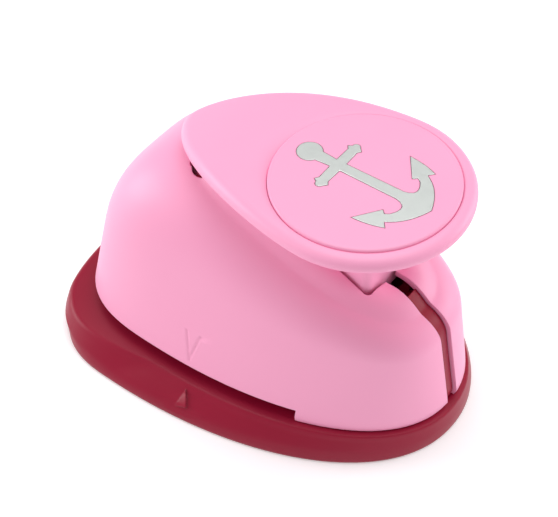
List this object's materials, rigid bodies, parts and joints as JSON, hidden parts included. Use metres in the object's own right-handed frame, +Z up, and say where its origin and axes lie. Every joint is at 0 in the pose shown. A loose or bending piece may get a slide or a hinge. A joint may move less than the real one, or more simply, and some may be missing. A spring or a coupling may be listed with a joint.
{
  "type": "craft punch",
  "caption": "Lever craft punch that cuts an anchor from paper: egg-shaped tray, domed cover over a spring-loaded die set, and a teardrop lever with a round pad.",
  "frame": {"origin": "middle of the footprint, on the surface that the tray stands on", "axes": "+X towards the nose and the wide end of the lever, +Y to the punch's left, +Z up"},
  "size_m": [0.1104, 0.0862, 0.07],
  "materials": {
    "pink_plastic": "satin moulded ABS, pale pink",
    "crimson_plastic": "satin moulded ABS, dark crimson",
    "zinc_casting": "die-cast zinc alloy, ground faces",
    "tool_steel": "ground cutting steel",
    "bright_steel": "bright drawn steel rod",
    "spring_steel": "coiled spring wire, zinc plated",
    "screw_steel": "zinc-plated self-tapping screw",
    "grey_nylon": "dark grey moulded nylon",
    "silver_foil": "hot-stamped silver foil, soft reflection"
  },
  "bodies": {
    "punch_body": {"base_tray": "crimson_plastic", "die_plate": "zinc_casting", "guide_plate": "zinc_casting", "inner_frame": "crimson_plastic", "front_foot": "crimson_plastic", "slot_strip": "crimson_plastic", "body_cover": "pink_plastic", "hinge_pin": "bright_steel", "die_spacer_left": "zinc_casting", "die_spacer_right": "zinc_casting", "die_screw_left": "screw_steel", "die_screw_right": "screw_steel", "guide_post_left": "bright_steel", "guide_post_right": "bright_steel", "return_spring_left": "spring_steel", "return_spring_right": "spring_steel", "base_screw_1": "screw_steel", "base_screw_2": "screw_steel", "base_screw_3": "screw_steel", "base_screw_4": "screw_steel"},
    "lever_arm": {"lever": "pink_plastic", "lever_disc": "pink_plastic", "anchor_emblem": "silver_foil"},
    "plunger": {"punch_die": "tool_steel", "punch_holder": "zinc_casting", "plunger_block": "grey_nylon"}
  },
  "joints": [
    {"name": "lever_hinge", "type": "hinge", "parent": "punch_body", "child": "lever_arm", "pos_m": [-0.01716, 0, 0.0495], "axis": [0, 1, 0], "range_deg": [0, 18.5], "stiffness_Nm_per_rad": 0.6, "springref_deg": -20.05},
    {"name": "plunger_slide", "type": "slide", "parent": "punch_body", "child": "plunger", "axis": [0, 0, -1], "range_m": [0, 0.005], "deforming": ["return_spring_left", "return_spring_right"]}
  ],
  "couplings": [
    {"joint": "plunger_slide", "follows": "lever_hinge", "m_per_rad": 0.0152}
  ]
}
